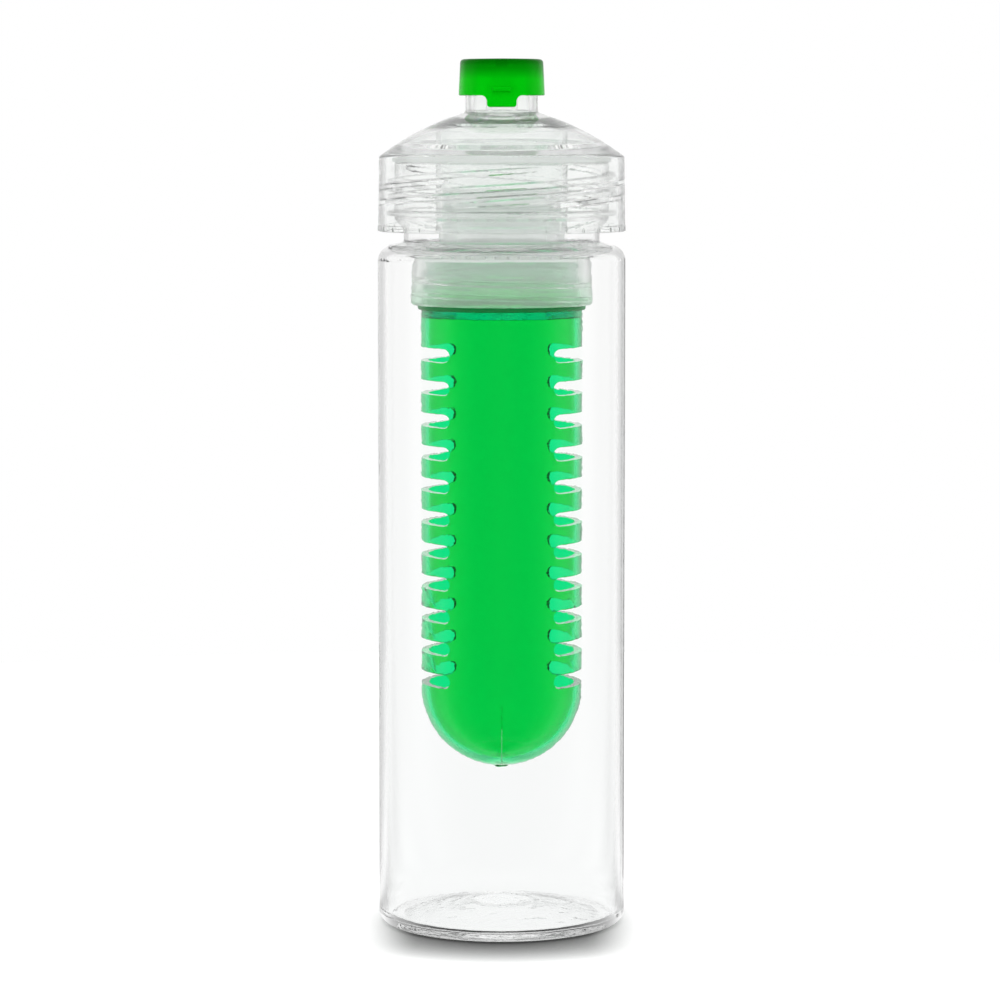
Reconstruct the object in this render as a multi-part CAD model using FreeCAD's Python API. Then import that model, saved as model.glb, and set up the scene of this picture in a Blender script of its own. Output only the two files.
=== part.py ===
import FreeCAD, Part
import math
import os

# Fruit infuser water bottle. Millimetres, +Z up, origin at the middle of the base, the front faces -Y.

# Bottle body
body_radius = 36.5
body_wall = 2.3
floor_thickness = 2.4
heel_radius = 3.5
standing_ring_width = 4.0
standing_ring_rounding = 1.2
push_up_height = 4.0
push_up_crown_radius = 9.0
push_up_rounding = 4.0
shoulder_height = 202.3
shoulder_slope = 15.0
shoulder_fillet = 5.0

# Neck of the bottle, from the waist on the shoulder up to the lip
waist_wall = 1.5
waist_length = 3.3
flare_height = 3.0
neck_step = 2.7
neck_wall = 2.1
neck_height = 22.9
bead_depth = 2.3
bead_width = 1.8
bead_rise = 7.3
bead_slope = 0.3
lip_rounding = 0.6

# Screw thread between the neck and the lid, right-handed with several starts
lid_thread_starts = 3
lid_thread_pitch = 4.4
lid_thread_depth = 2.0
lid_thread_base_width = 2.2
lid_thread_crest_width = 1.0
lid_thread_sweep = 200.0
lid_thread_radial_gap = 0.7
thread_run_out = 35.0
thread_section_angle = 10.0

# Screw lid with its dome and spout
lid_wall = 2.3
lid_taper = 0.45
rim_gap = 2.9
rim_band_height = 1.7
rim_band_step = 0.15
rim_notch_count = 36
rim_notch_width = 0.7
rim_notch_depth = 0.35
rim_notch_height = 1.2
rim_notch_tilt = 14.0
skirt_corner_rounding = 0.9
dome_rise = 12.9
dome_crown = 1.1
dome_round_share = 0.85
dome_wall = 2.4
spout_root_fillet = 0.9
spout_radius = 10.6
spout_wall = 2.6
spout_height = 11.4
socket_wall = 1.7

# Seal ring between the bottle's lip and the lid
lid_seal_thickness = 1.7
lid_seal_overlap = 0.7

# Flip cap over the spout
cap_draft = 0.5
cap_top_crown = 0.3
cap_wall = 1.45
cap_height = 10.9
cap_top_thickness = 2.7
cap_spout_gap = 0.6
cap_corner_radius = 1.1
tab_width = 8.6
tab_drop = 3.4
tab_fillet = 1.8
tab_corner_radius = 0.9
thumb_ridge_width = 5.4
thumb_ridge_height = 1.2
thumb_ridge_depth = 0.6
thumb_ridge_rise = 1.1
relief_front = 5.0
relief_gap = 1.1

# Hinge of the flip cap, behind the spout
hinge_setback = 3.4
hinge_drop = 4.4
pin_radius = 1.0
knuckle_radius = 2.3
knuckle_width = 7.4
ear_thickness = 2.2
pin_running_gap = 0.05
pin_press_gap = 0.01

# Spout plug, the soft seal inside the flip cap
plug_thickness = 1.5
plug_nub_radius = 5.0
plug_nub_depth = 1.5
plug_nub_taper = 0.6
plug_edge_gap = 1.0
plug_stem_radius = 1.5
plug_stem_height = 1.2

# Infuser cap: threaded collar, strainer plate and the boss that plugs into the lid
collar_height = 16.7
collar_wall = 2.6
collar_draft = 0.65
collar_top_thickness = 1.8
collar_corner_radius = 1.5
collar_chamfer = 0.6
flange_radius = 18.5
flange_height = 4.7
boss_step = 1.2
boss_height = 12.0
boss_wall = 3.1
strainer_hole_radius = 1.9
strainer_rings = 2
strainer_ring_count = 6
strainer_ring_step = 5.6

# O-ring on the boss
o_ring_section_radius = 0.9
o_ring_height = 6.5
o_ring_groove_width = 2.2

# Screw thread between the infuser cap and the basket, left-handed with one start
basket_thread_pitch = 4.0
basket_thread_depth = 1.5
basket_thread_base_width = 1.9
basket_thread_crest_width = 0.8
basket_thread_turns = 2.0
basket_thread_radial_gap = 0.5

# Infuser basket
basket_wall = 2.2
basket_ledge = 1.6
basket_neck_end_gap = 2.0
slot_count = 11
slot_pitch = 9.55
slot_height = 4.1
slot_half_angle = 51.0
top_band = 10.8
cup_band = 1.2

# Gasket ring on the basket's ledge
gasket_thickness = 1.3
gasket_overhang = 0.9

# Small roundings shared by the moulded edges
edge_rounding = 0.4
fine_rounding = 0.2

# Clearances
neck_clearance = 0.5
seat_gap = 0.1
thread_flank_gap = 0.37
running_gap = 0.05
body_gap = 0.4
side_gap = 0.3
embed = 0.4
overshoot = 1.0

# Heights and radii that follow from the sizes above
lid_radius = body_radius
lid_bore = lid_radius - lid_wall
neck_radius = lid_bore - lid_thread_depth - lid_thread_radial_gap
waist_radius = neck_radius - neck_step
standing_ring_radius = body_radius - heel_radius - standing_ring_width
lip_z = shoulder_height + neck_height
neck_bore = neck_radius - neck_wall
waist_bore = waist_radius - waist_wall
flare_z = shoulder_height + waist_length
bead_z = shoulder_height + bead_rise
bead_top_z = bead_z + bead_width
bead_radius = neck_radius + bead_depth
lid_thread_lead = lid_thread_pitch * lid_thread_starts
rim_z = shoulder_height + rim_gap
seal_z = lip_z + seat_gap
seat_z = seal_z + lid_seal_thickness + seat_gap
dome_top_z = seat_z + dome_rise
spout_bore = spout_radius - spout_wall
spout_top_z = dome_top_z + spout_height
plug_z = spout_top_z + seat_gap
cap_ceiling_z = plug_z + plug_thickness
cap_top_z = cap_ceiling_z + cap_top_thickness
cap_bottom_z = cap_top_z - cap_height
cap_bore = spout_radius + cap_spout_gap
cap_bottom_radius = cap_bore + cap_wall
cap_top_radius = cap_bottom_radius - cap_draft
hinge_y = spout_radius + hinge_setback
hinge_z = spout_top_z - hinge_drop
ear_radius = knuckle_radius + seat_gap
ear_inner_x = knuckle_width / 2 + side_gap
ear_outer_x = ear_inner_x + ear_thickness
relief_z = hinge_z + knuckle_radius + relief_gap
flange_top_z = rim_z - seat_gap
collar_top_z = flange_top_z - flange_height
collar_bottom_z = collar_top_z - collar_height
collar_radius = waist_bore - neck_clearance
collar_bore = collar_radius - collar_wall
boss_radius = flange_radius - boss_step
boss_bore = boss_radius - boss_wall
socket_bore = boss_radius + body_gap
socket_radius = socket_bore + socket_wall
boss_top_z = flange_top_z + boss_height
o_ring_z = flange_top_z + o_ring_height
o_ring_radius = socket_bore - running_gap - o_ring_section_radius
basket_crest_radius = collar_bore - basket_thread_radial_gap
basket_neck_radius = basket_crest_radius - basket_thread_depth
basket_radius = basket_neck_radius + basket_ledge
gasket_z = collar_bottom_z - seat_gap - gasket_thickness
ledge_z = gasket_z - running_gap
basket_top_z = collar_top_z - collar_top_thickness - basket_neck_end_gap
slot_top_z = ledge_z - top_band
slots_bottom_z = slot_top_z - (slot_count - 1) * slot_pitch - slot_height
cup_centre_z = slots_bottom_z - cup_band
cup_bottom_z = cup_centre_z - basket_radius

Z_AXIS = FreeCAD.Vector(0, 0, 1)
X_AXIS = FreeCAD.Vector(1, 0, 0)
Y_AXIS = FreeCAD.Vector(0, 1, 0)
ORIGIN = FreeCAD.Vector(0, 0, 0)


def section_point(across, up):
    """Point of a section drawn in the XZ plane."""
    return FreeCAD.Vector(across, 0, up)


def rounded_face(corners):
    """Face in the XZ plane from corners (across, up, rounding), each rounded by a tangent arc."""
    joints = []
    for index, (across, up, rounding) in enumerate(corners):
        corner = section_point(across, up)
        if rounding <= 0:
            joints.append((corner, None, corner))
            continue
        before = section_point(*corners[index - 1][:2]) - corner
        after = section_point(*corners[(index + 1) % len(corners)][:2]) - corner
        before.normalize()
        after.normalize()
        half_angle = before.getAngle(after) / 2
        reach = rounding / math.tan(half_angle)
        towards_centre = before + after
        towards_centre.normalize()
        nearest = towards_centre * (rounding / math.sin(half_angle) - rounding)
        joints.append((corner + before * reach, corner + nearest, corner + after * reach))
    edges = []
    for index, (start, middle, end) in enumerate(joints):
        last_end = joints[index - 1][2]
        if last_end.distanceToPoint(start) > 1e-6:
            edges.append(Part.LineSegment(last_end, start).toShape())
        if middle is not None:
            edges.append(Part.Arc(start, middle, end).toShape())
    return Part.Face(Part.Wire(edges))


def turned(corners):
    """Solid of revolution about Z from section corners (radius, height, rounding)."""
    return rounded_face(corners).revolve(ORIGIN, Z_AXIS, 360)


def plate_across_x(corners, first_x, last_x):
    """Plate between two X planes, its outline given as corners (y, z, rounding)."""
    face = rounded_face(corners)
    face.rotate(ORIGIN, Z_AXIS, 90)
    face.translate(FreeCAD.Vector(first_x, 0, 0))
    return face.extrude(FreeCAD.Vector(last_x - first_x, 0, 0))


def cylinder_along_x(radius, first_x, last_x, y, z):
    """Round bar along X."""
    return Part.makeCylinder(radius, last_x - first_x, FreeCAD.Vector(first_x, y, z), X_AXIS)


def thread_ridge(root, crest, base_width, crest_width, lead, start_angle, start_z, sweep):
    """Helical ridge that runs out into its wall at both ends; a negative lead is left-handed."""
    outward = 1 if crest > root else -1
    count = round(sweep / thread_section_angle)
    sections = []
    for index in range(count + 1):
        turn = sweep * index / count
        height = min(1.0, turn / thread_run_out, (sweep - turn) / thread_run_out)
        sunk = root - outward * embed / 2
        tip = sunk + (crest - sunk) * height
        foot = root - outward * embed
        corners = [
            section_point(foot, -base_width / 2),
            section_point(tip, -crest_width / 2),
            section_point(tip, crest_width / 2),
            section_point(foot, base_width / 2),
        ]
        section = Part.makePolygon(corners + corners[:1])
        section.rotate(ORIGIN, Z_AXIS, start_angle + turn)
        section.translate(FreeCAD.Vector(0, 0, start_z + lead * turn / 360))
        sections.append(section)
    return Part.makeLoft(sections, True, False)


def flank_distance(base_width, crest_width, depth, overlap):
    """Height between the middles of two meshing ridges whose flanks stand thread_flank_gap apart."""
    width_at_crest = crest_width + (base_width - crest_width) * overlap / depth
    return (width_at_crest + crest_width) / 2 + thread_flank_gap


def dome_corners(depth):
    """Skirt corner, crown corner and spout corner of the dome, moved inwards by depth."""
    skirt = section_point(lid_radius - lid_taper, seat_z)
    spout = section_point(spout_radius, dome_top_z)
    run = spout - skirt
    outward = FreeCAD.Vector(run.z, 0, -run.x)
    outward.normalize()
    crown = (skirt + spout) / 2 + outward * (2 * dome_crown)
    return [corner - outward * depth for corner in (skirt, crown, spout)]


def dome_crown_radius(depth):
    """Rounding of the dome's crown, moved inwards by depth."""
    skirt, crown, spout = dome_corners(0)
    chord = skirt.distanceToPoint(spout)
    return dome_round_share * chord * chord / (8 * dome_crown) - depth


def along(first, second, radius):
    """Height at a radius on the line through two section points."""
    return first.z + (second.z - first.z) * (radius - first.x) / (second.x - first.x)


def make_bottle_body():
    """Clear body with a pushed-up base, sloping shoulder, waist, transfer bead and threaded neck."""
    slope = math.tan(math.radians(shoulder_slope))
    drop = body_wall / math.cos(math.radians(shoulder_slope))
    inner_radius = body_radius - body_wall
    edge_z = shoulder_height - (body_radius - waist_radius) * slope
    inner_edge_z = shoulder_height - drop - (inner_radius - waist_radius) * slope
    inner_waist_z = shoulder_height - drop + (waist_radius - waist_bore) * slope
    flare_top_z = flare_z + flare_height
    body = turned([
        (0, push_up_height, 0),
        (push_up_crown_radius, push_up_height, push_up_rounding),
        (standing_ring_radius, 0, standing_ring_rounding),
        (body_radius, 0, heel_radius),
        (body_radius, edge_z, shoulder_fillet),
        (waist_radius, shoulder_height, edge_rounding),
        (waist_radius, flare_z, edge_rounding),
        (neck_radius, flare_top_z, fine_rounding),
        (neck_radius, bead_z, fine_rounding),
        (bead_radius, bead_z + bead_slope, edge_rounding),
        (bead_radius, bead_top_z - bead_slope, edge_rounding),
        (neck_radius, bead_top_z, fine_rounding),
        (neck_radius, lip_z, lip_rounding),
        (neck_bore, lip_z, lip_rounding),
        (neck_bore, flare_top_z + neck_wall / 2, edge_rounding),
        (waist_bore, flare_z + waist_wall / 2, edge_rounding),
        (waist_bore, inner_waist_z, edge_rounding),
        (inner_radius, inner_edge_z, shoulder_fillet - body_wall),
        (inner_radius, floor_thickness, heel_radius - body_wall / 2),
        (standing_ring_radius, floor_thickness, standing_ring_rounding),
        (push_up_crown_radius, push_up_height + floor_thickness, push_up_rounding),
        (0, push_up_height + floor_thickness, 0),
    ])
    ridges = []
    first_z, sweep = neck_thread_run()
    for start in range(lid_thread_starts):
        ridges.append(thread_ridge(
            neck_radius, neck_radius + lid_thread_depth, lid_thread_base_width, lid_thread_crest_width,
            lid_thread_lead, start * 360 / lid_thread_starts, first_z, sweep))
    return body.fuse(ridges).removeSplitter()


def neck_thread_run():
    """Height of the first ridge's middle on the neck and the angle that each ridge sweeps."""
    margin = lid_thread_base_width / 2 + body_gap
    first_z = bead_top_z + margin
    last_z = lip_z - margin
    return first_z, 360 * (last_z - first_z) / lid_thread_lead


def make_lid_ridges():
    """Ridges inside the lid, each just under a ridge of the neck."""
    crest = neck_radius + lid_thread_radial_gap
    depth = lid_bore - crest
    overlap = neck_radius + lid_thread_depth - crest
    below = flank_distance(lid_thread_base_width, lid_thread_crest_width, depth, overlap)
    neck_first_z = neck_thread_run()[0]
    first_z = bead_top_z + lid_thread_base_width / 2 + body_gap
    first_angle = 360 * (first_z + below - neck_first_z) / lid_thread_lead
    return [thread_ridge(lid_bore, crest, lid_thread_base_width, lid_thread_crest_width, lid_thread_lead,
                         first_angle + start * 360 / lid_thread_starts, first_z, lid_thread_sweep)
            for start in range(lid_thread_starts)]


def make_ears():
    """Two lugs on the dome behind the spout that carry the hinge pin."""
    foot_z = dome_top_z - dome_rise / 2
    outline = [
        (hinge_y - ear_radius, foot_z, 0),
        (hinge_y + ear_radius, foot_z, 0),
        (hinge_y + ear_radius, hinge_z + ear_radius, ear_radius - edge_rounding),
        (hinge_y - ear_radius, hinge_z + ear_radius, ear_radius - edge_rounding),
    ]
    right = plate_across_x(outline, ear_inner_x, ear_outer_x)
    left = plate_across_x(outline, -ear_outer_x, -ear_inner_x)
    return [right, left]


def make_rim_notches():
    """Short slanted grooves all round the lid's rim."""
    middle = FreeCAD.Vector(lid_radius, 0, rim_z + rim_band_height / 2)
    size = FreeCAD.Vector(2 * rim_notch_depth, rim_notch_width, rim_notch_height)
    notches = []
    for index in range(rim_notch_count):
        notch = Part.makeBox(size.x, size.y, size.z, middle - size / 2)
        notch.rotate(middle, X_AXIS, rim_notch_tilt)
        notch.rotate(ORIGIN, Z_AXIS, 360 * index / rim_notch_count)
        notches.append(notch)
    return Part.makeCompound(notches)


def make_screw_lid():
    """Clear domed lid: skirt with inner thread, spout, hinge ears and the socket for the infuser."""
    skirt, crown, spout = dome_corners(0)
    inner_skirt, inner_crown, inner_spout = dome_corners(dome_wall)
    band_top_z = rim_z + rim_band_height
    seat_inner_radius = neck_bore - lid_seal_overlap
    outside = turned([
        (0, rim_z, 0),
        (lid_radius, rim_z, edge_rounding),
        (lid_radius, band_top_z, 0),
        (lid_radius - rim_band_step, band_top_z + rim_band_step, 0),
        (skirt.x, skirt.z, skirt_corner_rounding),
        (crown.x, crown.z, dome_crown_radius(0)),
        (spout.x, spout.z, spout_root_fillet),
        (spout_radius, spout_top_z, edge_rounding),
        (0, spout_top_z, 0),
    ])
    inside = turned([
        (0, rim_z - overshoot, 0),
        (lid_bore, rim_z - overshoot, 0),
        (lid_bore, seat_z, edge_rounding),
        (seat_inner_radius, seat_z, edge_rounding),
        (seat_inner_radius, along(inner_crown, inner_skirt, seat_inner_radius), edge_rounding),
        (inner_crown.x, inner_crown.z, dome_crown_radius(dome_wall) / 2),
        (spout_bore, along(inner_crown, inner_spout, spout_bore), spout_root_fillet),
        (spout_bore, spout_top_z + overshoot, 0),
        (0, spout_top_z + overshoot, 0),
    ])
    socket_top_z = along(inner_crown, inner_spout, socket_bore) + dome_wall / 2
    socket = turned([
        (socket_bore, rim_z, edge_rounding),
        (socket_radius, rim_z, edge_rounding),
        (socket_radius, along(inner_crown, inner_spout, socket_radius) + dome_wall / 2, 0),
        (socket_bore, socket_top_z, 0),
    ])
    hole_end_x = ear_outer_x + overshoot
    pin_hole = cylinder_along_x(pin_radius + pin_press_gap, -hole_end_x, hole_end_x, hinge_y, hinge_z)
    lid = outside.fuse(make_ears()).cut(inside).cut(pin_hole).cut(make_rim_notches())
    return lid.fuse([socket] + make_lid_ridges()).removeSplitter()


def make_lid_seal():
    """Flat soft ring that the lid presses on the bottle's lip."""
    inner = neck_bore - lid_seal_overlap + seat_gap
    outer = neck_radius + lid_seal_overlap
    return turned([
        (inner, seal_z, edge_rounding),
        (outer, seal_z, edge_rounding),
        (outer, seal_z + lid_seal_thickness, edge_rounding),
        (inner, seal_z + lid_seal_thickness, edge_rounding),
    ])


def make_cap_tab():
    """Pull tab at the front of the cap, blended into its lower edge."""
    half = tab_width / 2
    wide = half + 2 * tab_fillet
    top_z = cap_bottom_z + overshoot
    foot_z = cap_bottom_z - tab_drop
    outline = rounded_face([
        (-wide, top_z, 0),
        (-wide, cap_bottom_z, 0),
        (-half, cap_bottom_z, tab_fillet),
        (-half, foot_z, tab_corner_radius),
        (half, foot_z, tab_corner_radius),
        (half, cap_bottom_z, tab_fillet),
        (wide, cap_bottom_z, 0),
        (wide, top_z, 0),
    ]).extrude(FreeCAD.Vector(0, -2 * cap_bottom_radius, 0))
    ring = turned([
        (cap_bore, foot_z, 0),
        (cap_bottom_radius, foot_z, edge_rounding),
        (cap_bottom_radius, cap_bottom_z, 0),
        (cap_bottom_radius - cap_draft * overshoot / cap_height, top_z, 0),
        (cap_bore, top_z, 0),
    ])
    return outline.common(ring)


def make_thumb_ridge():
    """Small raised grip above the tab."""
    face_y = -cap_bottom_radius
    ridge = Part.makeBox(
        thumb_ridge_width, 2 * thumb_ridge_depth + cap_wall / 2, thumb_ridge_height,
        FreeCAD.Vector(-thumb_ridge_width / 2, face_y - thumb_ridge_depth, cap_bottom_z + thumb_ridge_rise))
    front_edges = [edge for edge in ridge.Edges if edge.BoundBox.YMax < face_y]
    return ridge.makeFillet(thumb_ridge_depth / 2, front_edges)


def make_flip_cap():
    """Green cap over the spout, open at the back, with its tab, thumb ridge and hinge knuckle."""
    shell = turned([
        (0, cap_ceiling_z, 0),
        (cap_bore, cap_ceiling_z, edge_rounding),
        (cap_bore, cap_bottom_z, fine_rounding),
        (cap_bottom_radius, cap_bottom_z, edge_rounding),
        (cap_top_radius, cap_top_z - cap_top_crown, cap_corner_radius),
        (0, cap_top_z, 0),
    ])
    half = knuckle_width / 2
    relief = Part.makeBox(
        4 * cap_bottom_radius, 2 * cap_bottom_radius, relief_z - cap_bottom_z + overshoot,
        FreeCAD.Vector(-2 * cap_bottom_radius, relief_front, cap_bottom_z - overshoot))
    arm_top_z = cap_ceiling_z + cap_top_thickness / 2
    arm_foot_z = relief_z - edge_rounding
    arm = plate_across_x([
        (cap_bore + seat_gap, arm_foot_z, edge_rounding),
        (cap_bore + seat_gap, arm_top_z, 0),
        (cap_top_radius, arm_top_z, 0),
        (hinge_y + knuckle_radius, hinge_z + knuckle_radius, knuckle_radius / 2),
        (hinge_y + knuckle_radius, hinge_z, 0),
        (hinge_y - knuckle_radius, hinge_z, 0),
        (hinge_y - knuckle_radius, arm_foot_z, 0),
    ], -half, half)
    knuckle = cylinder_along_x(knuckle_radius, -half, half, hinge_y, hinge_z)
    pin_hole = cylinder_along_x(
        pin_radius + pin_running_gap, -half - overshoot, half + overshoot, hinge_y, hinge_z)
    stem_hole = Part.makeCylinder(
        plug_stem_radius + running_gap, plug_stem_height + seat_gap + overshoot,
        FreeCAD.Vector(0, 0, cap_ceiling_z - overshoot))
    cap = shell.cut(relief).fuse([make_cap_tab(), make_thumb_ridge(), arm, knuckle])
    return cap.cut(pin_hole).cut(stem_hole).removeSplitter()


def make_hinge_pin():
    """Straight pin pressed into the ears."""
    return cylinder_along_x(pin_radius, -ear_outer_x, ear_outer_x, hinge_y, hinge_z)


def make_spout_plug():
    """Soft disc in the cap that closes the spout, with a nub below and a stem above."""
    edge_radius = cap_bore - plug_edge_gap
    return turned([
        (0, plug_z - plug_nub_depth, 0),
        (plug_nub_radius - plug_nub_taper, plug_z - plug_nub_depth, edge_rounding),
        (plug_nub_radius, plug_z, edge_rounding),
        (edge_radius, plug_z, edge_rounding),
        (edge_radius, cap_ceiling_z, edge_rounding),
        (plug_stem_radius, cap_ceiling_z, 0),
        (plug_stem_radius, cap_ceiling_z + plug_stem_height, fine_rounding),
        (0, cap_ceiling_z + plug_stem_height, 0),
    ])


def basket_thread_start():
    """Height of the middle of the collar's lowest ridge."""
    return collar_bottom_z + basket_thread_base_width / 2 + collar_chamfer


def basket_flank_distance():
    """Height of the basket's ridge above the collar's ridge that carries it."""
    crest = basket_neck_radius + basket_thread_radial_gap
    return flank_distance(basket_thread_base_width, basket_thread_crest_width,
                          collar_bore - crest, basket_crest_radius - crest)


def make_infuser_cap():
    """Frosted collar that the basket screws into, with a strainer plate and a boss for the lid's socket."""
    plate_z = collar_top_z - collar_top_thickness
    groove_bottom = o_ring_radius - o_ring_section_radius - running_gap
    groove_low_z = o_ring_z - o_ring_groove_width / 2
    groove_high_z = o_ring_z + o_ring_groove_width / 2
    cap = turned([
        (0, plate_z, 0),
        (collar_bore, plate_z, edge_rounding),
        (collar_bore, collar_bottom_z, 0),
        (collar_radius - collar_chamfer, collar_bottom_z, 0),
        (collar_radius, collar_bottom_z + collar_chamfer, 0),
        (collar_radius - collar_draft, collar_top_z, collar_corner_radius),
        (flange_radius, collar_top_z, edge_rounding),
        (flange_radius, flange_top_z, fine_rounding),
        (boss_radius, flange_top_z, 0),
        (boss_radius, groove_low_z, 0),
        (groove_bottom, groove_low_z, 0),
        (groove_bottom, groove_high_z, 0),
        (boss_radius, groove_high_z, 0),
        (boss_radius, boss_top_z, edge_rounding),
        (boss_bore, boss_top_z, edge_rounding),
        (boss_bore, collar_top_z, edge_rounding),
        (0, collar_top_z, 0),
    ])
    holes = [strainer_hole(0, 0)]
    for ring in range(1, strainer_rings + 1):
        count = strainer_ring_count * ring
        holes += [strainer_hole(ring * strainer_ring_step, 360 * index / count) for index in range(count)]
    crest = basket_neck_radius + basket_thread_radial_gap
    top_z = basket_thread_start() + basket_thread_pitch * basket_thread_turns
    ridge = thread_ridge(collar_bore, crest, basket_thread_base_width, basket_thread_crest_width,
                         -basket_thread_pitch, 0, top_z, 360 * basket_thread_turns)
    return cap.cut(Part.makeCompound(holes)).fuse([ridge]).removeSplitter()


def strainer_hole(distance, angle):
    """Round hole through the strainer plate."""
    turn = math.radians(angle)
    foot_z = collar_top_z - collar_top_thickness - overshoot
    foot = FreeCAD.Vector(distance * math.cos(turn), distance * math.sin(turn), foot_z)
    return Part.makeCylinder(strainer_hole_radius, collar_top_thickness + 2 * overshoot, foot)


def make_boss_o_ring():
    """Soft ring in the boss's groove that grips the lid's socket."""
    return Part.makeTorus(o_ring_radius, o_ring_section_radius, FreeCAD.Vector(0, 0, o_ring_z))


def make_slot(top_z, side):
    """Cutter for one drain slot: a flat bar along Y with a round inner end, on one side of the basket."""
    inner_x = basket_radius * math.cos(math.radians(slot_half_angle))
    outer_x = basket_radius + overshoot
    rounding = (slot_height - fine_rounding) / 2
    outline = rounded_face([
        (side * inner_x, top_z, rounding),
        (side * outer_x, top_z, 0),
        (side * outer_x, top_z - slot_height, 0),
        (side * inner_x, top_z - slot_height, rounding),
    ])
    outline.translate(FreeCAD.Vector(0, -outer_x, 0))
    return outline.extrude(FreeCAD.Vector(0, 2 * outer_x, 0))


def make_infuser_basket():
    """Green slotted basket with a round bottom and a threaded neck."""
    outside = turned([
        (0, cup_centre_z, 0),
        (basket_radius, cup_centre_z, 0),
        (basket_radius, ledge_z, 0),
        (basket_neck_radius, ledge_z, fine_rounding),
        (basket_neck_radius, basket_top_z, edge_rounding),
        (0, basket_top_z, 0),
    ]).fuse(Part.makeSphere(basket_radius, FreeCAD.Vector(0, 0, cup_centre_z)))
    bore = basket_radius - basket_wall
    neck_bore_radius = basket_neck_radius - basket_wall
    inside = turned([
        (0, cup_centre_z, 0),
        (bore, cup_centre_z, 0),
        (bore, ledge_z - basket_wall, edge_rounding),
        (neck_bore_radius, ledge_z, edge_rounding),
        (neck_bore_radius, basket_top_z + overshoot, 0),
        (0, basket_top_z + overshoot, 0),
    ]).fuse(Part.makeSphere(bore, FreeCAD.Vector(0, 0, cup_centre_z)))
    slots = []
    for index in range(slot_count):
        top_z = slot_top_z - index * slot_pitch
        slots += [make_slot(top_z, -1), make_slot(top_z, 1)]
    first_z = basket_thread_start() + basket_flank_distance()
    last_z = basket_top_z - basket_thread_base_width / 2
    turns = (last_z - first_z) / basket_thread_pitch
    ridge = thread_ridge(basket_neck_radius, basket_crest_radius, basket_thread_base_width,
                         basket_thread_crest_width, -basket_thread_pitch,
                         360 * (basket_thread_turns - turns), last_z, 360 * turns)
    return outside.cut(inside).cut(Part.makeCompound(slots)).fuse([ridge]).removeSplitter()


def make_basket_gasket():
    """Soft ring on the basket's ledge, under the collar's lower edge."""
    inner = basket_neck_radius + seat_gap
    outer = basket_radius + gasket_overhang
    return turned([
        (inner, gasket_z, fine_rounding),
        (outer, gasket_z, edge_rounding),
        (outer, gasket_z + gasket_thickness, edge_rounding),
        (inner, gasket_z + gasket_thickness, fine_rounding),
    ])


MAKERS = {
    "bottle_body": make_bottle_body,
    "screw_lid": make_screw_lid,
    "lid_seal": make_lid_seal,
    "flip_cap": make_flip_cap,
    "hinge_pin": make_hinge_pin,
    "spout_plug": make_spout_plug,
    "infuser_cap": make_infuser_cap,
    "boss_o_ring": make_boss_o_ring,
    "infuser_basket": make_infuser_basket,
    "basket_gasket": make_basket_gasket,
}

os.makedirs("parts", exist_ok=True)
for node, maker in MAKERS.items():
    shape = maker()
    shape.exportStep(f"parts/{node}.step")
    print(node, "solids", len(shape.Solids), "valid", shape.isValid(), "volume", round(shape.Volume, 1))
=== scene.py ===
# %% [markdown]
# A clear water bottle with a domed screw lid, a green flip cap and a green fruit basket inside. The exact
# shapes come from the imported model, which is loaded as a fixed frame in metres: origin under the middle
# of the base, +Z up, front towards -Y. Blender gives the bottle its plastics, its small moulding marks, a
# soft studio and a camera.

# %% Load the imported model
import math
import bpy
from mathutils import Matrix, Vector


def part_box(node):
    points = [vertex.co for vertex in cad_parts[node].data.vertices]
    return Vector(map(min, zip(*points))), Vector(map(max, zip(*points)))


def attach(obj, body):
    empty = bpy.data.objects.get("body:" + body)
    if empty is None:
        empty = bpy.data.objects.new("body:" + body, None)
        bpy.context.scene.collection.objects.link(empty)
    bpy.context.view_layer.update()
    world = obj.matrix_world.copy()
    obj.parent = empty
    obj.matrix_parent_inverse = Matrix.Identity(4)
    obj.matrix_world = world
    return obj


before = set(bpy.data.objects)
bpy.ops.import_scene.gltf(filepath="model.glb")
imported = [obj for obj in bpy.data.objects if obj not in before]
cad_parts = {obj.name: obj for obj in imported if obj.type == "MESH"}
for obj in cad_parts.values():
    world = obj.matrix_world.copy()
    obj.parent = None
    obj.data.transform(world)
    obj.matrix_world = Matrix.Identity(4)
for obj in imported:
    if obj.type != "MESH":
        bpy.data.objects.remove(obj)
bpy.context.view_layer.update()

print("nodes", sorted(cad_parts))

# %% [markdown]
# The photograph is taken from straight in front and from the height of the lid, with a long lens. The
# camera looks slightly down, so the lid's rim is nearly level and the base shows as an ellipse. Many
# clear walls lie behind each other, so a ray may bounce often before it is given up.

# %% Camera
CAMERA_PLACE = (-0.0005, -1.15, 0.2351)
CAMERA_DIP_DEGREES = 5.431
LENS_MM = 140.53
SENSOR_MM = 36
BOUNCES = 24

lens = bpy.data.cameras.new("photo_camera")
lens.lens = LENS_MM
lens.sensor_width = SENSOR_MM
camera = bpy.data.objects.new("photo_camera", lens)
camera.location = CAMERA_PLACE
camera.rotation_euler = (math.radians(90 - CAMERA_DIP_DEGREES), 0, 0)
bpy.context.collection.objects.link(camera)
scene = bpy.context.scene
scene.camera = camera
scene.view_settings.view_transform = "Standard"
scene.cycles.max_bounces = BOUNCES
scene.cycles.glossy_bounces = BOUNCES
scene.cycles.transmission_bounces = BOUNCES
scene.cycles.transparent_max_bounces = BOUNCES
print("camera", tuple(camera.location), "lens", lens.lens)

# %% [markdown]
# Node trees are easier to read when small helpers make the nodes. A key in `inputs` is an input socket,
# which takes a value or a link; anything else is an attribute of the node.


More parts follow.
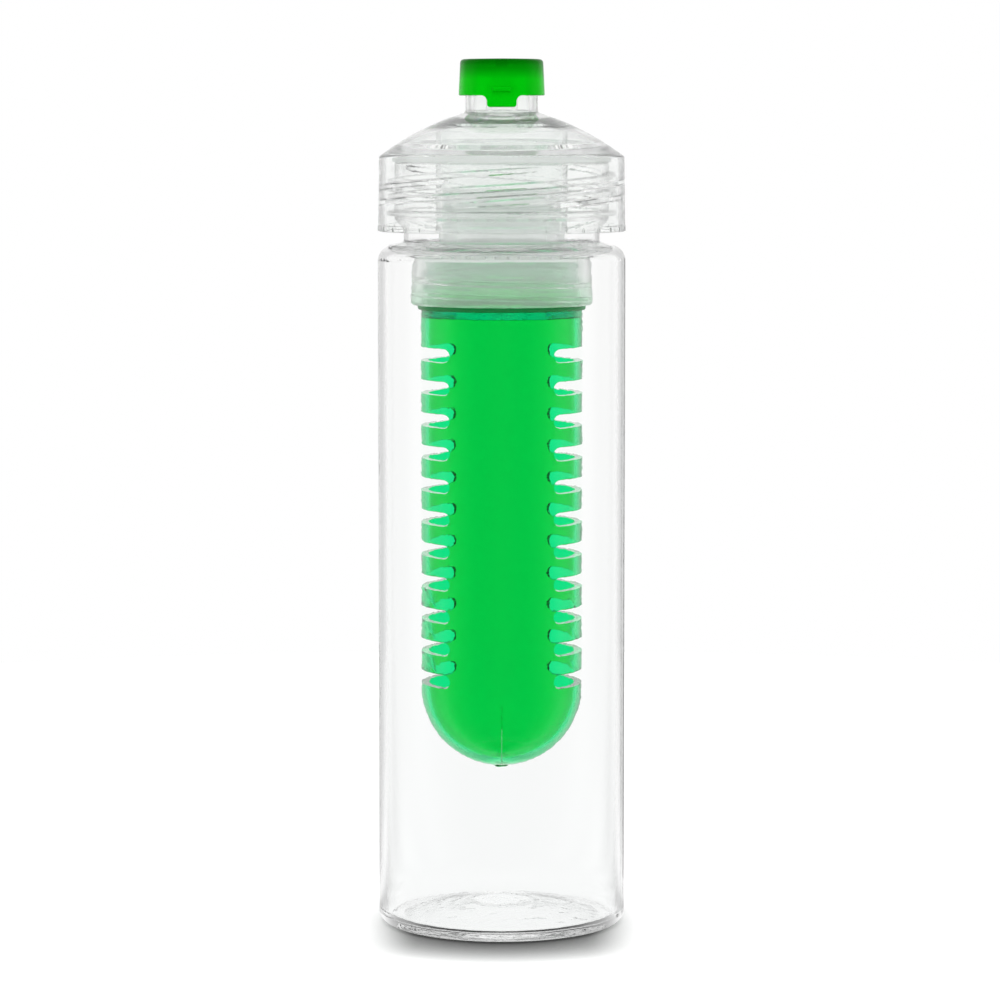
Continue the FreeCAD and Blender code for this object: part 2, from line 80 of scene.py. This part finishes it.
# %% Helpers for node trees
def add_node(tree, kind, inputs=None, **attributes):
    node = tree.nodes.new(kind)
    for name, value in attributes.items():
        setattr(node, name, value)
    for name, value in (inputs or {}).items():
        if isinstance(value, bpy.types.NodeSocket):
            tree.links.new(value, node.inputs[name])
        else:
            node.inputs[name].default_value = value
    return node


def math_node(tree, operation, first, second=0.0, clamp=False):
    node = add_node(tree, "ShaderNodeMath", {0: first, 1: second}, operation=operation, use_clamp=clamp)
    return node.outputs[0]


def blend_values(tree, factor, low, high):
    node = add_node(tree, "ShaderNodeMix", {0: factor, 2: low, 3: high}, data_type="FLOAT")
    return node.outputs[0]


def smooth_ramp(tree, value, start, stop, lowest=0.0):
    node = add_node(
        tree, "ShaderNodeMapRange", {"Value": value, "From Min": start, "From Max": stop, "To Min": lowest},
        interpolation_type="SMOOTHSTEP")
    return node.outputs[0]


# %% [markdown]
# Clear plastic is drawn by what is around it. Straight through it, the studio is plain white. Rays that
# are mirrored on the way, as in a thin wall's edge or on the flank of a thread, meet soft grey bands, a
# dark front side of the room and a light grey ceiling, and those draw the thin lines along the edges. The
# bands repeat every 45 degrees, for a look from any side.


# %% Studio surroundings
AMBIENT = 1.0
BAND_COUNT = 8
BAND_DEPTH = 0.35
FRONT_LEVEL = 0.1
FRONT_SPAN = (-0.85, -0.1)
CEILING_LEVEL = 0.7
CEILING_SPAN = (0.35, 0.8)


def mirrored_room(tree, direction):
    level = add_node(tree, "ShaderNodeVectorMath", {0: direction}, operation="NORMALIZE").outputs[0]
    sides = add_node(tree, "ShaderNodeSeparateXYZ", {0: level}).outputs
    turn = math_node(tree, "ARCTAN2", sides["X"], sides["Y"])
    wave = math_node(tree, "COSINE", math_node(tree, "MULTIPLY", turn, BAND_COUNT))
    band = math_node(tree, "MULTIPLY", math_node(tree, "SUBTRACT", 1.0, wave), BAND_DEPTH / 2)
    front = smooth_ramp(tree, sides["Y"], *FRONT_SPAN, FRONT_LEVEL)
    return math_node(tree, "MULTIPLY", front, math_node(tree, "SUBTRACT", 1.0, band))


world = bpy.data.worlds.new("studio")
scene.world = world
world.use_nodes = True
room = world.node_tree
room.nodes.clear()
direction = add_node(room, "ShaderNodeTexCoord").outputs["Generated"]
upward = add_node(room, "ShaderNodeSeparateXYZ", {0: direction}).outputs["Z"]
above = smooth_ramp(room, upward, *CEILING_SPAN)
mirrored = blend_values(room, above, mirrored_room(room, direction), CEILING_LEVEL)
bounced = add_node(room, "ShaderNodeLightPath").outputs["Glossy Depth"]
level = blend_values(room, math_node(room, "MINIMUM", bounced, 1.0), AMBIENT, mirrored)
sky = add_node(room, "ShaderNodeBackground", {"Color": (1, 1, 1, 1), "Strength": level})
room.links.new(sky.outputs[0], add_node(room, "ShaderNodeOutputWorld").inputs[0])
print("studio world with", len(room.nodes), "nodes")

# %% [markdown]
# The bottle stands on a pale floor. The floor also glows to the camera, so that it is as white as the
# backdrop. The lamps cast a faint real shadow on its paper, and a painted shadow is added close to the
# base: an ambient occlusion test, leaned towards the back so that it is darkest in front of the base,
# darkens both the paper's colour and the glow, and a mask fades this painted shadow out left and right of
# the base. Seen through the plastic the floor is as plain and white as the backdrop, and mirrored rays
# meet the same grey bands on it as above.

# %% Floor
FLOOR_RADIUS = 0.6
FLOOR_SIDES = 96
FLOOR_GLOW = 0.45
FLOOR_TONE = 0.6
SHADE_REACH = 0.027
SHADE_POWER = 2.0
SHADE_SAMPLES = 16
SHADE_LEAN = (0, 0.87, 0.5)
SHADE_HALF_WIDTH = (0.024, 0.043)

bpy.ops.object.select_all(action="DESELECT")
bpy.ops.mesh.primitive_circle_add(
    vertices=FLOOR_SIDES, radius=FLOOR_RADIUS, fill_type="NGON", location=(0, 0, 0))
floor = bpy.context.object
floor.name = "floor"

floor_paint = bpy.data.materials.new("white_floor")
floor_paint.use_nodes = True
tree = floor_paint.node_tree
tree.nodes.clear()
spot = add_node(tree, "ShaderNodeTexCoord").outputs["Object"]
path = add_node(tree, "ShaderNodeLightPath").outputs

# Painted shadow: an ambient occlusion test leaned towards the back darkens the floor near the base.
lean = add_node(tree, "ShaderNodeCombineXYZ", dict(enumerate(SHADE_LEAN))).outputs[0]
open_sky = add_node(tree, "ShaderNodeAmbientOcclusion", {"Distance": SHADE_REACH, "Normal": lean},
                    samples=SHADE_SAMPLES).outputs["AO"]
# A mask fades the painted shadow out left and right of the base.
across = math_node(tree, "ABSOLUTE", add_node(tree, "ShaderNodeSeparateXYZ", {0: spot}).outputs["X"])
painted_shadow_side_fade = smooth_ramp(tree, across, *SHADE_HALF_WIDTH)
painted_shadow = blend_values(tree, painted_shadow_side_fade, math_node(tree, "POWER", open_sky, SHADE_POWER), 1.0)

# The painted shadow darkens both the paper's colour and the camera glow.
painted_shadow_tone = math_node(tree, "MULTIPLY", painted_shadow, FLOOR_TONE)
grey = add_node(tree, "ShaderNodeCombineColor", {0: painted_shadow_tone, 1: painted_shadow_tone, 2: painted_shadow_tone}).outputs[0]
paper = add_node(tree, "ShaderNodeBsdfDiffuse", {"Color": grey})
glow_with_painted_shadow = math_node(tree, "MULTIPLY", math_node(tree, "MULTIPLY", path["Is Camera Ray"], painted_shadow), FLOOR_GLOW)
glow = add_node(tree, "ShaderNodeEmission", {"Strength": glow_with_painted_shadow})
both = add_node(tree, "ShaderNodeAddShader", {0: paper.outputs[0], 1: glow.outputs[0]})

mirrored = math_node(tree, "MINIMUM", path["Glossy Depth"], 1.0)
plain = blend_values(tree, mirrored, 1.0, mirrored_room(tree, spot))
white = add_node(tree, "ShaderNodeEmission", {"Strength": plain})
through = math_node(tree, "MAXIMUM", path["Is Transmission Ray"], mirrored)
seen = add_node(tree, "ShaderNodeMixShader", {0: through, 1: both.outputs[0], 2: white.outputs[0]})
tree.links.new(seen.outputs[0], add_node(tree, "ShaderNodeOutputMaterial").inputs[0])
floor.data.materials.append(floor_paint)
print("floor", tuple(floor.dimensions))

# %% [markdown]
# Three soft boxes light the bottle: a large one overhead and a tall strip on each side. They are hidden
# from the camera and from mirrored and refracted rays, because the surroundings do that job.


# %% Soft boxes
def soft_box(name, place, aim, width, height, watts):
    lamp = bpy.data.lights.new(name, "AREA")
    lamp.shape = "RECTANGLE"
    lamp.size = width
    lamp.size_y = height
    lamp.energy = watts
    holder = bpy.data.objects.new(name, lamp)
    holder.location = place
    holder.rotation_euler = (Vector(aim) - Vector(place)).to_track_quat("-Z", "Y").to_euler()
    holder.visible_camera = False
    holder.visible_transmission = False
    holder.visible_glossy = False
    bpy.context.collection.objects.link(holder)
    print(name, watts, "W")


soft_box("overhead_box", place=(0, 0.3, 1.4), aim=(0, 0, 0.1), width=1.2, height=1.2, watts=5.0)
for name, side in (("left_strip", -0.9), ("right_strip", 0.9)):
    soft_box(name, place=(side, -0.55, 0.45), aim=(0, 0, 0.14), width=0.3, height=1.0, watts=2.2)

# %% [markdown]
# Every moulded surface has a slow ripple from cooling, a gloss that handling has dulled in places and a
# colour that changes with height. On the clear parts that colour only drifts a little; on the collar, the
# cap and the basket it carries painted light and shade. Several plastics use these, so each is a node
# group: one gives a height for a Bump node, one a roughness, one a colour. A fourth group gives the
# wandering rings in the bottle's base.


# %% Shared surface effects
def effect_group(name, inputs, output, output_kind):
    group = bpy.data.node_groups.new(name, "ShaderNodeTree")
    for label, kind, value in inputs:
        socket = group.interface.new_socket(name=label, in_out="INPUT", socket_type=kind)
        socket.default_value = value
    group.interface.new_socket(name=output, in_out="OUTPUT", socket_type=output_kind)
    return group, group.nodes.new("NodeGroupInput").outputs, group.nodes.new("NodeGroupOutput").inputs


def object_place(tree):
    return add_node(tree, "ShaderNodeTexCoord").outputs["Object"]


def noise(tree, place, scale, detail):
    node = add_node(tree, "ShaderNodeTexNoise", {"Vector": place, "Scale": scale, "Detail": detail})
    return node.outputs[0]


FLOAT = "NodeSocketFloat"
COLOR = "NodeSocketColor"
WHITE = (1, 1, 1, 1)
SMUDGE_SPAN = (0.42, 0.72)
MOTTLE_SCALE = 70.0
DRIFT_SCALE = 130.0
RINGS_FULL_BELOW = 0.004

ripple, given, result = effect_group(
    "moulded_ripple",
    [("Slow Scale", FLOAT, 60.0), ("Fine Scale", FLOAT, 500.0), ("Fine Share", FLOAT, 0.2)], "Height", FLOAT)
place = object_place(ripple)
slow = noise(ripple, place, given["Slow Scale"], 1.0)
fine = noise(ripple, place, given["Fine Scale"], 2.0)
ripple.links.new(blend_values(ripple, given["Fine Share"], slow, fine), result[0])

gloss, given, result = effect_group(
    "handled_gloss",
    [("Smooth", FLOAT, 0.02), ("Dull", FLOAT, 0.08), ("Scale", FLOAT, 90.0)], "Roughness", FLOAT)
smudge = noise(gloss, object_place(gloss), given["Scale"], 4.0)
spread = add_node(gloss, "ShaderNodeMapRange", {
    "Value": smudge, "From Min": SMUDGE_SPAN[0], "From Max": SMUDGE_SPAN[1],
    "To Min": given["Smooth"], "To Max": given["Dull"]})
gloss.links.new(spread.outputs[0], result[0])

tint, given, result = effect_group(
    "tinted_by_height",
    [("Low Color", COLOR, WHITE), ("High Color", COLOR, WHITE), ("Low", FLOAT, 0.0), ("High", FLOAT, 0.2),
     ("Mottle", FLOAT, 0.1)], "Color", COLOR)
place = object_place(tint)
height = add_node(tint, "ShaderNodeSeparateXYZ", {0: place}).outputs["Z"]
rise = add_node(tint, "ShaderNodeMapRange", {
    "Value": height, "From Min": given["Low"], "From Max": given["High"]}).outputs[0]
cloud = math_node(tint, "SUBTRACT", noise(tint, place, MOTTLE_SCALE, 3.0), 0.5)
cloud = math_node(tint, "MULTIPLY", cloud, given["Mottle"])
share = math_node(tint, "ADD", rise, cloud, clamp=True)
mixed = add_node(tint, "ShaderNodeMix", {0: share, 6: given["Low Color"], 7: given["High Color"]},
                 data_type="RGBA")
tint.links.new(mixed.outputs[2], result[0])

rings, given, result = effect_group(
    "base_rings",
    [("Top", FLOAT, 0.012), ("Spacing", FLOAT, 0.006), ("Wander", FLOAT, 11.0)], "Height", FLOAT)
place = object_place(rings)
x, y, z = add_node(rings, "ShaderNodeSeparateXYZ", {0: place}).outputs
flat = add_node(rings, "ShaderNodeCombineXYZ", {0: x, 1: y}).outputs[0]
radius = add_node(rings, "ShaderNodeVectorMath", {0: flat}, operation="LENGTH").outputs["Value"]
turns = math_node(rings, "MULTIPLY", math_node(rings, "DIVIDE", radius, given["Spacing"]), 2 * math.pi)
drift = math_node(rings, "MULTIPLY", noise(rings, place, DRIFT_SCALE, 2.0), given["Wander"])
wave = math_node(rings, "SINE", math_node(rings, "ADD", turns, drift))
near_base = smooth_ramp(rings, z, given["Top"], RINGS_FULL_BELOW)
rings.links.new(math_node(rings, "MULTIPLY", wave, near_base), result[0])
print("effects", [group.name for group in bpy.data.node_groups])

# %% [markdown]
# Each plastic is one Principled BSDF fed by the effects. A clear or translucent plastic also lets light
# rays through when they only ask whether something is in shadow, because light really does pass; the
# colour of that light is given with the material.


# %% Recipe for a moulded plastic
def plastic(name, low, high, heights, mottle, gloss_range, ripple_scale, ripple_depth, values, shadow=None,
            ringed=0.0):
    material = bpy.data.materials.new(name)
    material.use_nodes = True
    tree = material.node_tree
    tree.nodes.clear()
    color = add_node(tree, "ShaderNodeGroup", node_tree=tint)
    color.inputs["Low Color"].default_value = (*low, 1)
    color.inputs["High Color"].default_value = (*high, 1)
    color.inputs["Low"].default_value, color.inputs["High"].default_value = heights
    color.inputs["Mottle"].default_value = mottle
    sheen = add_node(tree, "ShaderNodeGroup", node_tree=gloss)
    sheen.inputs["Smooth"].default_value, sheen.inputs["Dull"].default_value = gloss_range
    waves = add_node(tree, "ShaderNodeGroup", node_tree=ripple)
    waves.inputs["Slow Scale"].default_value = ripple_scale
    relief = waves.outputs[0]
    if ringed:
        circles = add_node(tree, "ShaderNodeGroup", node_tree=rings)
        relief = math_node(tree, "ADD", relief, math_node(tree, "MULTIPLY", circles.outputs[0], ringed))
    bump = add_node(tree, "ShaderNodeBump", {"Height": relief, "Distance": ripple_depth})
    surface = add_node(tree, "ShaderNodeBsdfPrincipled", {
        "Base Color": color.outputs[0], "Roughness": sheen.outputs[0], "Normal": bump.outputs[0], **values})
    end = surface.outputs[0]
    if shadow:
        asked = add_node(tree, "ShaderNodeLightPath").outputs["Is Shadow Ray"]
        clear = add_node(tree, "ShaderNodeBsdfTransparent", {"Color": (*shadow, 1)})
        end = add_node(tree, "ShaderNodeMixShader", {0: asked, 1: end, 2: clear.outputs[0]}).outputs[0]
    tree.links.new(end, add_node(tree, "ShaderNodeOutputMaterial").inputs[0])
    print("material", name, "with", len(tree.nodes), "nodes")
    return material


# %% [markdown]
# The bottle is a polished clear plastic, almost free of colour. The lid is the same plastic with a faint
# green-grey cast and a little more haze. The seals are cloudy silicone.

# %% Clear plastics and silicones
clear_body = plastic(
    "clear_body_plastic",
    low=(0.985, 0.992, 0.99), high=(0.995, 0.997, 0.995), heights=(0.0, 0.2), mottle=0.3,
    gloss_range=(0.0, 0.02), ripple_scale=45.0, ripple_depth=0.00008,
    values={"IOR": 1.47, "Transmission Weight": 1.0, "Specular Tint": (0.3, 0.3, 0.3, 1)},
    shadow=(0.96, 0.965, 0.962), ringed=0.25)
clear_lid = plastic(
    "clear_lid_plastic",
    low=(0.982, 0.988, 0.984), high=(0.985, 0.99, 0.987), heights=(0.2, 0.25), mottle=0.4,
    gloss_range=(0.0, 0.03), ripple_scale=80.0, ripple_depth=0.00002,
    values={"IOR": 1.47, "Transmission Weight": 0.94, "Specular Tint": (0.7, 0.7, 0.7, 1)},
    shadow=(0.93, 0.95, 0.94))
clear_silicone = plastic(
    "cloudy_silicone",
    low=(0.9, 0.92, 0.905), high=(0.93, 0.94, 0.93), heights=(0.2, 0.24), mottle=0.6,
    gloss_range=(0.3, 0.42), ripple_scale=200.0, ripple_depth=0.00004,
    values={"IOR": 1.41, "Transmission Weight": 0.75}, shadow=(0.8, 0.82, 0.8))
white_silicone = plastic(
    "white_silicone",
    low=(0.86, 0.87, 0.86), high=(0.9, 0.9, 0.89), heights=(0.25, 0.256), mottle=0.8,
    gloss_range=(0.4, 0.55), ripple_scale=220.0, ripple_depth=0.00004,
    values={"IOR": 1.41, "Subsurface Weight": 0.2, "Subsurface Scale": 0.001})

# %% [markdown]
# The infuser's collar is frosted natural-white plastic that lets some of the green behind it show; below
# its top the green is also painted into its colour, painted light standing in for the basket seen through
# it. The cap and the basket are see-through greens, the cap darker and yellower, the basket brighter and
# bluer. The cap is painted much darker towards its top, painted shade for its thick top plate seen
# through. The basket's threaded neck is painted paler, painted light from above scattered in the collar
# around it. The gasket under the collar is dark green silicone and the hinge pin is plain steel wire.

# %% Frosted, green and metal finishes
# Below its top the collar's colour is painted green: painted light standing in for the basket seen through
# it.
frosted = plastic(
    "frosted_collar_plastic",
    low=(0.64, 0.93, 0.72), high=(0.99, 0.985, 0.99), heights=(0.182, 0.192), mottle=0.3,
    gloss_range=(0.02, 0.06), ripple_scale=150.0, ripple_depth=0.00001,
    values={"IOR": 1.4, "Transmission Weight": 0.76}, shadow=(0.95, 0.96, 0.955))
# The cap's colour darkens towards its top: painted shade for the thick top plate seen through.
green_cap = plastic(
    "green_cap_plastic",
    low=(0.0, 0.66, 0.004), high=(0.0, 0.16, 0.001), heights=(0.2495, 0.2548), mottle=0.3,
    gloss_range=(0.12, 0.2), ripple_scale=160.0, ripple_depth=0.00003,
    values={"IOR": 1.2, "Transmission Weight": 0.4, "Specular Tint": (0.1, 0.6, 0.1, 1)},
    shadow=(0.02, 0.4, 0.02))
# The neck's paler colour is painted light: light from above, scattered in the collar around it.
green_basket = plastic(
    "green_basket_plastic",
    low=(0.0, 0.81, 0.25), high=(0.42, 0.72, 0.53), heights=(0.1835, 0.192), mottle=0.05,
    gloss_range=(0.0, 0.03), ripple_scale=120.0, ripple_depth=0.00003,
    values={"IOR": 1.5, "Transmission Weight": 1.0, "Specular Tint": (0.1, 0.7, 0.3, 1)},
    shadow=(0.05, 0.7, 0.25))
# The parting line is painted a pale green: a painted highlight along its raised ridge.
pale_line_painted_highlight = plastic(
    "green_line_plastic",
    low=(0.5, 1.0, 0.75), high=(0.45, 0.95, 0.7), heights=(0.045, 0.07), mottle=0.4,
    gloss_range=(0.1, 0.2), ripple_scale=200.0, ripple_depth=0.00003,
    values={"IOR": 1.2, "Transmission Weight": 0.85}, shadow=(0.3, 0.8, 0.5))
green_silicone = plastic(
    "dark_green_silicone",
    low=(0.001, 0.17, 0.03), high=(0.001, 0.22, 0.045), heights=(0.18, 0.183), mottle=0.8,
    gloss_range=(0.35, 0.5), ripple_scale=220.0, ripple_depth=0.00004, values={"IOR": 1.41})
pin_steel = plastic(
    "drawn_pin_steel",
    low=(0.6, 0.6, 0.62), high=(0.7, 0.7, 0.71), heights=(0.245, 0.25), mottle=0.6,
    gloss_range=(0.2, 0.34), ripple_scale=300.0, ripple_depth=0.00003, values={"Metallic": 1.0})

# %% [markdown]
# Each CAD node keeps its shape and takes its finish in its material slots.

# %% Finishes on the nodes
FINISHES = {
    "bottle_body": clear_body, "screw_lid": clear_lid, "lid_seal": clear_silicone, "flip_cap": green_cap,
    "hinge_pin": pin_steel, "spout_plug": white_silicone, "infuser_cap": frosted,
    "boss_o_ring": clear_silicone, "infuser_basket": green_basket, "basket_gasket": green_silicone,
}
for node, material in FINISHES.items():
    piece = bpy.data.objects[node]
    for index in range(len(piece.material_slots)):
        piece.material_slots[index].material = material
    print(node, "->", material.name, len(piece.data.polygons), "faces")

# %% [markdown]
# The two halves of the basket's mould meet in the plane from front to back and leave a fine raised line
# round the cup. The line is a thin ring, turned upright, sunk into the wall and cut off on both sides of
# the cup. The plastic was fed in at the lowest point, where a small flat nub with rounded rims is left.

# %% Moulding marks on the basket
CUP_RADIUS = 0.0238
CUP_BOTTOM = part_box("infuser_basket")[0][2]
CUP_CENTRE = CUP_BOTTOM + CUP_RADIUS
LINE_RADIUS = 0.00018
LINE_SINK = 0.00006
LINE_END_DROP = 0.01
NUB_RADIUS = 0.0021
NUB_DEPTH = 0.0009
NUB_ROUNDING = 0.0002
SHARP_ANGLE = math.radians(40)

bpy.ops.object.select_all(action="DESELECT")
bpy.ops.mesh.primitive_torus_add(
    major_radius=CUP_RADIUS - LINE_SINK, minor_radius=LINE_RADIUS, major_segments=160, minor_segments=10,
    location=(0, 0, 0))
parting_line = bpy.context.object
parting_line.name = "basket_parting_line"
bpy.ops.object.mode_set(mode="EDIT")
bpy.ops.mesh.select_all(action="SELECT")
bpy.ops.transform.rotate(value=math.pi / 2, orient_axis="Y", center_override=(0, 0, 0))
bpy.ops.transform.translate(value=(0, 0, CUP_CENTRE))
bpy.ops.mesh.bisect(
    plane_co=(0, 0, CUP_CENTRE - LINE_END_DROP), plane_no=(0, 0, 1), use_fill=True, clear_outer=True)
bpy.ops.object.mode_set(mode="OBJECT")
bpy.ops.object.shade_smooth_by_angle(angle=SHARP_ANGLE)

bpy.ops.object.select_all(action="DESELECT")
bpy.ops.mesh.primitive_cylinder_add(vertices=48, radius=NUB_RADIUS, depth=NUB_DEPTH, location=(0, 0, 0))
gate_nub = bpy.context.object
gate_nub.name = "basket_gate_nub"
bpy.ops.object.mode_set(mode="EDIT")
bpy.ops.mesh.select_all(action="SELECT")
bpy.ops.transform.translate(value=(0, 0, CUP_BOTTOM))
bpy.ops.mesh.select_mode(type="EDGE")
bpy.ops.mesh.select_all(action="DESELECT")
bpy.ops.mesh.edges_select_sharp(sharpness=SHARP_ANGLE)
bpy.ops.mesh.bevel(offset=NUB_ROUNDING, segments=3, affect="EDGES")
bpy.ops.object.mode_set(mode="OBJECT")
bpy.ops.object.shade_smooth_by_angle(angle=SHARP_ANGLE)

for mark, material in ((parting_line, pale_line_painted_highlight), (gate_nub, green_basket)):
    mark.data.materials.clear()
    mark.data.materials.append(material)
    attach(mark, "basket")
    print(mark.name, len(mark.data.polygons), "faces")
